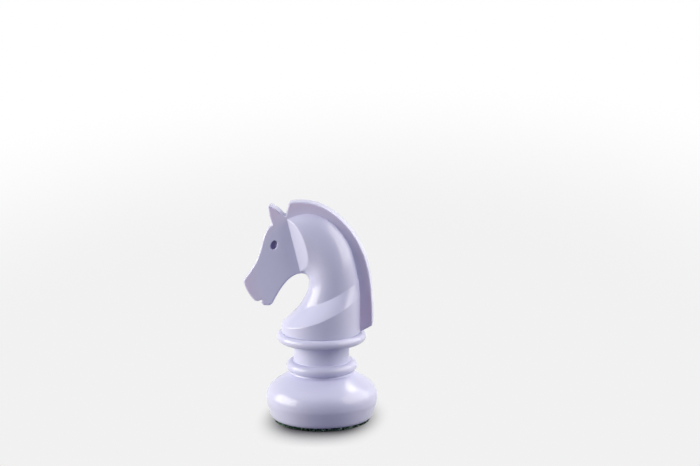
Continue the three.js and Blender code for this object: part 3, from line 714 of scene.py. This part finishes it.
def make_fuzz(rng):
    """Loose fibres on the felt's side"""
    fuzz = make_object("felt_fuzz", *joined([strand(rng) for _ in range(STRANDS)]), FUZZ_SHARP)
    fuzz.data.materials.append(MATERIALS["felt"])
    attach(fuzz, "pedestal")


def strand(rng):
    """Points and faces of one bent fibre, which is thinner towards its end"""
    turn = rng.uniform(0, 2 * math.pi)
    height = rng.uniform(*STRAND_HEIGHTS)
    length = rng.uniform(*STRAND_LENGTHS)
    lean = rng.normal(0, 1, 3) + np.array([STRAND_LEAN, 0, 0])
    bend = rng.normal(0, STRAND_BEND, 3)
    here = np.array([FELT_RADIUS + STRAND_ROOT, 0, height])
    centre = [here]
    for k in range(STRAND_PARTS):
        way = lean + bend * k
        here = here + way / np.linalg.norm(way) * length / STRAND_PARTS
        here[2] = np.clip(here[2], *STRAND_LIMITS)
        here[0] = max(here[0], FELT_RADIUS + STRAND_NEAREST)
        centre.append(here)
    c, s = math.cos(turn), math.sin(turn)
    points = []
    for k, p in enumerate(centre):
        thin = STRAND_RADIUS * (1 - STRAND_TAPER * k)
        for a in STRAND_CORNERS:
            q = p + thin * np.array([math.cos(a) * STRAND_FLATNESS, math.cos(a), math.sin(a)])
            points.append((q[0] * c - q[1] * s, q[0] * s + q[1] * c, q[2]))
    return points, ring_faces(len(centre), len(STRAND_CORNERS))


# Bust

def onto(points):
    return np.array(points, float) + [0, BUST_BOTTOM]


def neck_surface(u, t):
    """Points of the neck at u from the band to the cheek and at t from its back to its front"""
    back, front = onto(NECK_BACK), onto(NECK_FRONT)
    sizes = np.stack([NECK_HALF_WIDTHS, NECK_DROOPS], axis=1).astype(float)
    knots = lengths(back)
    knots /= knots[-1]
    b, f, w = (
        spline_at(knots, values, u.ravel()).reshape(*u.shape, 2) for values in (back, front, sizes)
    )
    centre = (b + f) / 2
    half = (b - f) / 2
    x = centre[..., 0] + half[..., 0] * np.cos(t)
    z = centre[..., 1] + half[..., 1] * np.cos(t) - w[..., 1] * np.sin(t) ** 2
    return np.stack([x, w[..., 0] * np.sin(t), z], axis=-1)


def body_half():
    """Right half (+Y) of drum, band and neck, with the cheek facet"""
    t = np.linspace(0, math.pi, BODY_STEPS)
    cos, sin = np.cos(t), np.sin(t)
    towards_front = eased_step((t - FRONT_START) / FRONT_BLEND)
    rim_cut = RIM_CUT[0] + RIM_CUT[1] * towards_front
    band_cut = BAND_CUT[0] + BAND_CUT[1] * towards_front

    def ring(radius, height):
        return np.stack([radius * cos, radius * sin, height + 0 * t], axis=1)

    inside = DRUM_RADIUS - WALL
    rows = [
        ring(inside, BUST_BOTTOM + DRUM_INSIDE_HEIGHT),
        ring(inside, BUST_BOTTOM + DRUM_EDGE),
        ring(inside + DRUM_EDGE, BUST_BOTTOM),
    ]
    for a in np.linspace(-90, 0, DRUM_EDGE_ROWS):
        c, s = math.cos(math.radians(a)), math.sin(math.radians(a))
        rows.append(ring(DRUM_RADIUS - DRUM_EDGE * (1 - c), BUST_BOTTOM + DRUM_EDGE * (1 + s)))

    # The drum up to its rim, then the band up to the neck
    front = BUST_BOTTOM + RIM_FRONT_HEIGHT
    rim = ring(DRUM_RADIUS, front + RIM_SLOPE * DRUM_RADIUS * (1 + cos) - RIM_DIP * sin**2)
    low = rim - np.stack([0 * t, 0 * t, rim_cut], axis=1)
    rows.extend(between(rows[-1], low, DRUM_ROWS))
    crest = neck_surface(np.zeros_like(t), t)
    rise = crest - rim
    length = np.linalg.norm(rise, axis=1)
    high = rim + rise * (rim_cut / length)[:, None]
    rows.extend(bezier(low, rim, high, RIM_ROWS))
    top = crest - rise * (band_cut / length)[:, None]
    rows.extend(between(high, top, BAND_ROWS))

    # The neck, and across the plate's middle to close it
    neck_start = len(rows) - 1
    probe = 0.01
    speed = np.linalg.norm(neck_surface(np.full_like(t, probe), t) - crest, axis=1) / probe
    u_start = band_cut / speed
    rows.extend(bezier(top, crest, neck_surface(u_start, t), CREST_ROWS))
    for share in np.linspace(0, 1, NECK_ROWS + 1)[1:]:
        rows.append(neck_surface(u_start + (1 - u_start) * share, t))
    last = rows[-1]
    for share in np.linspace(1, 0, CLOSING_ROWS + 1)[1:]:
        rows.append(last * [1, share, 1])
    grid = np.array(rows)
    grid[neck_start:] = facet(grid[neck_start:])
    return grid_mesh(grid)


def facet(points):
    """Presses what stands before the cheek facet onto it, with a small rounding at its edge"""
    throat, crest = onto([NECK_FRONT[-1], NECK_BACK[-1]])
    along = np.array([crest[0] - throat[0], 0, crest[1] - throat[1]])
    along /= np.linalg.norm(along)
    rearward = np.array([along[2], 0, -along[0]])
    angle = math.radians(FACET_ANGLE)
    slant = rearward * math.sin(angle) + np.array([0, math.cos(angle), 0])
    normal = np.cross(along, slant)
    start = np.array([(crest[0] + throat[0]) / 2, PLATE_HALF, (crest[1] + throat[1]) / 2])
    away = points - start
    depth = away @ normal
    place = away @ along
    soft = FACET_SOFTNESS
    edge = np.where(depth < -soft, 0, (depth + soft) ** 2 / (4 * soft))
    press = np.where(depth > soft, depth, edge)
    press *= np.clip((place + FACET_REACH) / FACET_FADE, 0, 1)
    return points - press[..., None] * normal


def plate_outline():
    """Closed outline of head and mane, with softly rounded corners: points, slopes and bends"""
    foot = onto([(DRUM_RADIUS, MANE_FOOT_RISE), (DRUM_RADIUS - PLATE_ROOT, MANE_FOOT_RISE)])
    corners = np.vstack([
        onto([CHEST]), spline(onto(THROAT), THROAT_STEPS), onto(MOUTH),
        spline(onto(NOSE), NOSE_STEPS), eased(onto(FACE), *FACE_CURVE), onto(EAR),
        eased(onto(MANE), *MANE_CURVE), foot,
    ])
    s = lengths(np.vstack([corners, corners[:1]]))
    step = OUTLINE_STEP
    count = int(s[-1] / step)
    dense = sampled(corners, s, np.arange(count) * s[-1] / count)
    from_mouth = ((dense - onto([MOUTH_CENTRE])[0]) ** 2).sum(axis=1)
    mouth = np.exp(-from_mouth / (2 * MOUTH_REACH**2))
    sharp = smoothed(dense, MOUTH_SOFTNESS / step)
    soft = smoothed(dense, OUTLINE_SOFTNESS / step)
    dense = soft + (sharp - soft) * mouth[:, None]

    # Fewer points where the outline is straight
    slope = unit((np.roll(dense, -1, axis=0) - np.roll(dense, 1, axis=0)) / (2 * step))
    turn = slope[:, 0] * np.roll(slope[:, 1], -1) - slope[:, 1] * np.roll(slope[:, 0], -1)
    bend = smoothed(np.arcsin(np.clip(turn, -1, 1))[:, None] / step, BEND_BLUR)
    spacing = np.clip(POINT_TURN / np.maximum(np.abs(bend), 1e-6), *POINT_SPACING)
    spacing = smoothed(spacing, SPACING_BLUR)
    run = np.concatenate([[0], np.cumsum(step / spacing)])
    total = int(run[-1])
    wanted = np.arange(total) * run[-1] / total
    kept, slopes, bends = (sampled(values, run, wanted) for values in (dense, slope, bend))
    return kept, unit(slopes), bends[:, 0]


def plate_half():
    """Right half (+Y) of the plate, with rounded edges and the eye"""
    outline, slopes, bends = plate_outline()
    way = 1 if signed_area(outline) < 0 else -1
    inward = np.stack([slopes[:, 1], -slopes[:, 0]], axis=1) * way
    edge = np.clip(EDGE_SHARE / np.maximum(-way * bends, EDGE_FLATTEST), *EDGE_LIMITS)
    edge = smoothed(edge[:, None], EDGE_BLUR)[:, 0]

    def ring(offset, y):
        flat = outline + inward * offset[:, None]
        return np.stack([flat[:, 0], y + 0 * edge, flat[:, 1]], axis=1)

    rings = [ring(0 * edge, y) for y in PLATE_ROWS]
    for a in np.linspace(0, 90, EDGE_STEPS):
        s = math.radians(a)
        rings.append(ring(edge * (1 - math.cos(s)), PLATE_HALF - edge * (1 - math.sin(s))))
    rings.append(ring(edge * SIDE_INSET, PLATE_HALF))
    sheet = np.vstack(rings), ring_faces(len(rings), len(outline))
    points, faces = joined([sheet, eye_bowl()])

    # The flat side, between the outline and the eye
    n, e = len(outline), EYE_STEPS
    start = len(sheet[0])
    chosen = list(range(start - n, start + e))
    flat = [Vector((points[v][0], points[v][2])) for v in chosen]
    edges = [(i, (i + 1) % n) for i in range(n)] + [(n + i, n + (i + 1) % e) for i in range(e)]
    placed, _, tris, origin, _, _ = delaunay_2d_cdt(flat, edges, [], 1, 1e-7)
    extra = [i for i, o in enumerate(origin) if not o]
    back = {i: (chosen[o[0]] if o else len(points) + extra.index(i)) for i, o in enumerate(origin)}
    if extra:
        points = np.vstack([points, [(placed[i].x, PLATE_HALF, placed[i].y) for i in extra]])
    centre = Vector(onto([EYE[:2]])[0])
    for tri in tris:
        middle = sum((placed[v] for v in tri), Vector((0, 0))) / len(tri)
        in_eye = all(start <= back[v] < start + e for v in tri)
        if not in_eye and (middle - centre).length >= EYE[3] * 0.5:
            faces.append([back[v] for v in tri])
    return points, faces


def eye_bowl():
    """Points and faces of the eye's recess, on the right side, from its outer rim inwards"""
    x, height, half_length, half_width, tilt, depth = EYE
    x, z = onto([(x, height)])[0]
    lean = math.radians(tilt)
    profile = [(EYE_RIM + EYE_MARGIN, 0)]  # outwards from the eye's edge, down from the side
    for a in np.linspace(0, 80, EYE_RIM_STEPS):
        s = math.radians(a)
        profile.append((EYE_RIM * (1 - math.sin(s)), EYE_RIM * (1 - math.cos(s))))
    profile += [(-0.15, 2.4), (-0.35, depth - 1.4), (-0.8, depth - 0.5), (-1.7, depth - 0.1),
                (-3.2, depth), (-5.2, depth)]
    angles = around(EYE_STEPS)
    rings = []
    for offset, down in profile:
        p = (half_width + offset) * np.cos(angles)
        q = (half_length + offset) * np.sin(angles)
        rings.append(np.stack([
            x + p * math.cos(lean) + q * math.sin(lean),
            PLATE_HALF - down + 0 * p,
            z - p * math.sin(lean) + q * math.cos(lean),
        ], axis=1))
    faces = [[a, d, c, b] for a, b, c, d in ring_faces(len(rings), EYE_STEPS)]
    last = (len(rings) - 1) * EYE_STEPS
    faces.append([last + j for j in range(EYE_STEPS)])
    return np.vstack(rings), faces


def make_bust():
    sheets = [body_half(), plate_half()]
    for name, node, side in (
        ("bust_right_skin", "bust_right_half", 1),
        ("bust_left_skin", "bust_left_half", -1),
    ):
        parts = [(np.asarray(points) * [1, side, 1], faces) for points, faces in sheets]
        skin = make_object(name, *joined(parts), BUST_SHARP)
        work = bmesh.new()
        work.from_mesh(skin.data)
        face_outward(work, side)
        work.to_mesh(skin.data)
        work.free()
        dress(skin, "bust", "gloss_shell", node)


def face_outward(work, side):
    """Turns the faces of each connected sheet so that its widest faces look away from the seam"""
    left = set(work.faces)
    while left:
        sheet, edge = set(), [next(iter(left))]
        while edge:
            face = edge.pop()
            if face in sheet:
                continue
            sheet.add(face)
            for e in face.edges:
                edge.extend(f for f in e.link_faces if f not in sheet)
        left -= sheet
        bmesh.ops.recalc_face_normals(work, faces=list(sheet))
        balance = sum(f.normal.y * f.calc_area() for f in sheet)
        if balance * side < 0:
            bmesh.ops.reverse_faces(work, faces=list(sheet))


# Materials

def srgb(r, g, b):
    linear = [c / 12.92 if c <= 0.04045 else ((c + 0.055) / 1.055) ** 2.4
              for c in (r / 255, g / 255, b / 255)]
    return (*linear, 1)


class Tree:
    """Short calls for building a node tree"""

    def __init__(self, owner):
        owner.use_nodes = True
        self.tree = owner.node_tree
        self.tree.nodes.clear()

    def add(self, kind, inputs=None, **settings):
        """A node with its settings and then the values of its inputs"""
        node = self.tree.nodes.new(kind)
        for key, value in settings.items():
            setattr(node, key, value)
        for key, value in (inputs or {}).items():
            node.inputs[key].default_value = value
        return node

    def feed(self, output, node, into):
        self.tree.links.new(output, node.inputs[into])

    def link(self, a, out, b, into):
        self.feed(a.outputs[out], b, into)

    def math(self, operation, a, b=None):
        """Result for the output a and b, which is a number or an output"""
        node = self.add("ShaderNodeMath", operation=operation)
        self.feed(a, node, 0)
        if isinstance(b, (int, float)):
            node.inputs[1].default_value = b
        elif b is not None:
            self.feed(b, node, 1)
        return node.outputs[0]

    def ease(self, value, start, end, low=0.0):
        """Smoothly from low to 1 while the output value goes from start to end"""
        node = self.add(
            "ShaderNodeMapRange",
            {"From Min": start, "From Max": end, "To Min": low, "To Max": 1.0},
            interpolation_type="SMOOTHSTEP",
        )
        self.feed(value, node, "Value")
        return node.outputs["Result"]


class Nodes(Tree):
    """The nodes of a material on the object"""

    def __init__(self, name):
        self.material = bpy.data.materials.new(name)
        super().__init__(self.material)
        self.shader = self.add("ShaderNodeBsdfPrincipled")
        out = self.add("ShaderNodeOutputMaterial")
        self.link(self.shader, "BSDF", out, "Surface")
        self.place = self.add("ShaderNodeTexCoord")

    def set(self, **values):
        """Even values on the shader's own sockets, with _ for the spaces in their names"""
        for key, value in values.items():
            self.shader.inputs[key.replace("_", " ")].default_value = value

    def finish(self, colour, gloss, normal):
        """Links the colour and roughness outputs, if any, and the last bump to the shader"""
        self.feed(colour, self.shader, "Base Color")
        if gloss:
            self.feed(gloss, self.shader, "Roughness")
        self.link(normal, "Normal", self.shader, "Normal")
        return self.material

    def noise(self, scale, detail, rough=0.5, stretch=(1, 1, 1)):
        mapping = self.add("ShaderNodeMapping", {"Scale": stretch})
        self.link(self.place, "Object", mapping, "Vector")
        values = {"Scale": scale, "Detail": detail, "Roughness": rough}
        node = self.add("ShaderNodeTexNoise", values)
        self.link(mapping, "Vector", node, "Vector")
        return node.outputs["Fac"]

    def ramp(self, value, stops):
        """The output value turned into a colour or grey through (place, colour or grey) stops"""
        node = self.add("ShaderNodeValToRGB")
        ramp = node.color_ramp
        while len(ramp.elements) < len(stops):
            ramp.elements.new(0.5)
        for element, (place, colour) in zip(ramp.elements, stops):
            element.position = place
            element.color = colour if hasattr(colour, "__len__") else (colour, colour, colour, 1)
        self.feed(value, node, "Fac")
        return node.outputs["Color"]

    def oval(self, x, z, width, length, tilt):
        """Distance from the centre of an oval in the XZ plane (mm), 1 at its edge"""
        mapping = self.add("ShaderNodeMapping", vector_type="TEXTURE", inputs={
            "Location": (x * MM, 0, z * MM),
            "Rotation": (0, math.radians(tilt), 0),
            "Scale": (width * MM, 1, length * MM),
        })
        self.link(self.place, "Object", mapping, "Vector")
        flat = self.add("ShaderNodeVectorMath", {1: (1, 0, 1)}, operation="MULTIPLY")
        self.link(mapping, "Vector", flat, "Vector")
        distance = self.add("ShaderNodeVectorMath", operation="LENGTH")
        self.link(flat, "Vector", distance, "Vector")
        return distance.outputs["Value"]

    def mix(self, share, a, colour):
        """From the output a to an even colour"""
        node = self.add("ShaderNodeMix", {"B": colour}, data_type="RGBA")
        self.feed(share, node, "Factor")
        self.feed(a, node, "A")
        return node.outputs["Result"]

    def bump(self, value, strength, distance, after=None):
        node = self.add("ShaderNodeBump", {"Strength": strength, "Distance": distance})
        self.feed(value, node, "Height")
        if after:
            self.link(after, "Normal", node, "Normal")
        return node


def shell_material():
    """Glossy moulded plastic

    An even lavender white with faint flow marks, wipe marks in the gloss and a moulding ripple. It
    is rosier near the outer edge of the head's and mane's flat sides, and has painted shade in
    the eye's recess.
    """
    n = Nodes("gloss_shell")
    n.set(IOR=1.5, Specular_IOR_Level=0.42)
    tone = n.ramp(n.noise(9, 3, 0.55), [(0.3, srgb(203, 203, 231)), (0.7, srgb(206, 206, 235))])
    x, height, width, length = MANE_OVAL
    rim = n.ramp(n.oval(x, BUST_BOTTOM + height, width, length, 0), [(0.74, 0), (1.0, 1)])
    place = n.add("ShaderNodeSeparateXYZ")
    n.link(n.place, "Object", place, "Vector")
    flat = n.math("COMPARE", n.math("ABSOLUTE", place.outputs["Y"]), PLATE_HALF * MM)
    flat.node.inputs[2].default_value = SIDE_TOLERANCE * MM
    above = n.math("GREATER_THAN", place.outputs["Z"], BUST_BOTTOM * MM)
    edge = n.math("MULTIPLY", n.math("MULTIPLY", flat, above), rim)
    rosy = n.mix(edge, tone, srgb(212, 200, 229))
    # Painted shade: the colour darkens inside the eye's oval, standing in for the shade in its
    # recess
    x, height, half_length, half_width, tilt, _ = EYE
    painted_eye_shade_oval = n.oval(x, BUST_BOTTOM + height, half_width, half_length, tilt)
    eye = n.ramp(painted_eye_shade_oval, [(0.96, 1), (1.0, 0)])
    colour = n.mix(eye, rosy, srgb(144, 136, 182))
    gloss = n.ramp(n.noise(26, 5, 0.6, (1, 1, 0.5)), [(0.35, 0.18), (0.72, 0.25)])
    ripple = n.bump(n.noise(38, 2, 0.4), 0.2, 0.00025)
    grain = n.bump(n.noise(900, 2, 0.5), 0.05, 0.00008, ripple)
    return n.finish(colour, gloss, grain)


def felt_material():
    """Wool felt: matted fibres, darker and lighter tufts"""
    n = Nodes("felt")
    n.set(Roughness=1.0, Sheen_Weight=0.35, Sheen_Roughness=0.5, Specular_IOR_Level=0.1)
    n.set(Sheen_Tint=srgb(120, 150, 132))
    matted = n.noise(150, 6, 0.8)
    tone = n.ramp(matted, [
        (0.35, srgb(8, 18, 14)), (0.48, srgb(22, 40, 31)), (0.56, srgb(96, 126, 110)),
        (0.66, srgb(190, 210, 198)),
    ])
    mat = n.bump(matted, 0.8, 0.0008)
    return n.finish(tone, None, n.bump(n.noise(1500, 4, 0.7, (1, 1, 0.35)), 0.9, 0.0006, mat))


def plain_material(name, even, tone, gloss, grain):
    """A material from even values, (noise, stops) for colour and gloss, and (noise, bump)"""
    n = Nodes(name)
    n.set(**even)
    (tone_noise, tones), (gloss_noise, glosses), (grain_noise, bump) = tone, gloss, grain
    colour = n.ramp(n.noise(*tone_noise), [(place, srgb(*levels)) for place, levels in tones])
    roughness = n.ramp(n.noise(*gloss_noise), glosses)
    return n.finish(colour, roughness, n.bump(n.noise(*grain_noise), *bump))


PLAIN_MATERIALS = {
    # Plain moulded plastic of the inner pieces
    "inner_plastic": (
        {"IOR": 1.5},
        ((20, 3), [(0.3, (196, 194, 214)), (0.7, (203, 201, 221))]),
        ((60, 4), [(0.3, 0.36), (0.7, 0.5)]),
        ((1400, 3), (0.25, 0.0001)),
    ),
    # Cast iron with a rough skin
    "ballast_iron": (
        {"Metallic": 0.9},
        ((260, 6, 0.7), [(0.3, (58, 55, 54)), (0.6, (86, 84, 84)), (0.8, (104, 88, 76))]),
        ((260, 6, 0.7), [(0.3, 0.55), (0.7, 0.85)]),
        ((260, 6, 0.7), (0.7, 0.0006)),
    ),
    # Zinc-plated steel
    "steel": (
        {"Metallic": 1.0},
        ((180, 4, 0.6), [(0.3, (186, 190, 196)), (0.7, (206, 207, 204))]),
        ((520, 4), [(0.3, 0.22), (0.7, 0.4)]),
        ((1600, 2, 0.5, (1, 1, 6)), (0.2, 0.00006)),
    ),
    # Matt rubber
    "rubber": (
        {"IOR": 1.52},
        ((300, 4), [(0.3, (38, 38, 40)), (0.7, (52, 52, 54))]),
        ((300, 4), [(0.3, 0.62), (0.7, 0.8)]),
        ((2200, 3), (0.3, 0.00008)),
    ),
}


def make_materials():
    """Materials by the record's names for them"""
    made = {"gloss_shell": shell_material(), "felt": felt_material()}
    for name, finish in PLAIN_MATERIALS.items():
        made[name] = plain_material(name, *finish)
    return made


def dress_solids():
    """Finishes of the solids that show as they are"""
    for part in frame["record"]["subparts"]:
        solid = frame["nodes"][part["node"]]
        solid.data.materials.clear()
        solid.data.materials.append(MATERIALS[part["material_slot"]])


# Floor, world and lamps

def camera_rays(n):
    """1 for camera, glossy and transmission rays"""
    path = n.add("ShaderNodeLightPath")
    total = path.outputs["Is Camera Ray"]
    for name in ("Is Glossy Ray", "Is Transmission Ray"):
        total = n.math("MAXIMUM", total, path.outputs[name])
    return total


def floor_material():
    """Ground around the foot with real shadows and a painted contact shadow, which fades into a
    pale floor, a little darker near the object as a painted shadow pool, and a white distance
    """
    material = bpy.data.materials.new("floor")
    n = Tree(material)
    seen = camera_rays(n)
    place = n.add("ShaderNodeTexCoord")
    oval = n.add("ShaderNodeMapping", {"Scale": SHADE_OVAL})
    n.link(place, "Object", oval, "Vector")
    far = n.add("ShaderNodeVectorMath", operation="LENGTH")
    n.link(oval, "Vector", far, 0)

    # Ground that takes the object's real shadow, under a glow that fades where something stands
    # close above: a painted contact shadow
    tone = n.add("ShaderNodeMix", {"A": FLOOR_TONE, "B": FLOOR_TONE_SEEN}, data_type="RGBA")
    n.feed(seen, tone, "Factor")
    paper = n.add("ShaderNodeBsdfDiffuse")
    n.link(tone, "Result", paper, "Color")
    above = n.add("ShaderNodeAmbientOcclusion", {"Distance": SHADE_REACH}, samples=16)
    # Painted contact shadow: ambient occlusion dims the floor's glow
    shade = n.math("POWER", above.outputs["AO"], SHADE_POWER)
    painted_shadow_glow = n.add("ShaderNodeEmission", {"Color": WHITE})
    strength = n.math("MULTIPLY", n.math("MULTIPLY", shade, FLOOR_LIFT), seen)
    n.feed(strength, painted_shadow_glow, "Strength")
    ground = n.add("ShaderNodeAddShader")
    n.link(paper, 0, ground, 0)
    n.link(painted_shadow_glow, 0, ground, 1)

    # Pale floor for the rays that see it, dimmer near the object as a painted shadow pool
    pale = n.add("ShaderNodeEmission", {"Color": WHITE})
    n.feed(n.ease(far.outputs["Value"], *PALE_FADE, PALE), pale, "Strength")
    mask = n.math("MULTIPLY", n.ease(far.outputs["Value"], *SHADE_FADE), seen)
    mix = n.add("ShaderNodeMixShader")
    n.feed(mask, mix, "Fac")
    n.link(ground, 0, mix, 1)
    n.link(pale, 0, mix, 2)
    n.link(mix, 0, n.add("ShaderNodeOutputMaterial"), "Surface")
    return material


def make_floor():
    points, faces = [(0, 0, FLOOR_LEVEL)], []
    count = FLOOR_STEPS
    for r in FLOOR_RADII:
        points.extend((r * math.cos(a), r * math.sin(a), FLOOR_LEVEL) for a in around(count))
    for k in range(count):
        faces.append([0, 1 + k, 1 + (k + 1) % count])
    outer = ring_faces(len(FLOOR_RADII), count)
    faces.extend([1 + a, 1 + d, 1 + c, 1 + b] for a, b, c, d in outer)
    floor = make_object("floor", points, faces)
    floor.data.materials.append(floor_material())


def make_world():
    """White for camera, glossy and transmission rays, and a faint blue light on the object"""
    world = bpy.data.worlds.new("world")
    bpy.context.scene.world = world
    n = Tree(world)
    seen = camera_rays(n)
    strength = n.add("ShaderNodeMapRange", {"To Min": WORLD_LIGHT, "To Max": 1.0})
    n.feed(seen, strength, "Value")
    tint = n.add("ShaderNodeMix", {"A": COOL, "B": WHITE}, data_type="RGBA")
    n.feed(seen, tint, "Factor")
    light = n.add("ShaderNodeBackground")
    n.link(tint, "Result", light, "Color")
    n.link(strength, "Result", light, "Strength")
    n.link(light, 0, n.add("ShaderNodeOutputWorld"), "Surface")


def make_lamp(name, azimuth, elevation, size, power):
    """A soft panel aimed at the object"""
    data = bpy.data.lights.new(name, "AREA")
    data.shape = "RECTANGLE"
    data.size, data.size_y = size
    data.energy = power
    data.color = WARM
    away = direction(azimuth, elevation)
    lamp = bpy.data.objects.new(name, data)
    lamp.location = Vector(LAMP_AIM) + away * LAMP_DISTANCE
    lamp.rotation_euler = (-away).to_track_quat("-Z", "Y").to_euler()
    bpy.context.scene.collection.objects.link(lamp)


make_camera()
MATERIALS = make_materials()
dress_solids()
make_felt()
make_foot()
make_stem()
make_washer()
make_bust_base()
make_bust()
make_floor()
make_world()
for name, values in LAMPS.items():
    make_lamp(name, *values)

bpy.context.scene.view_settings.view_transform = "Standard"
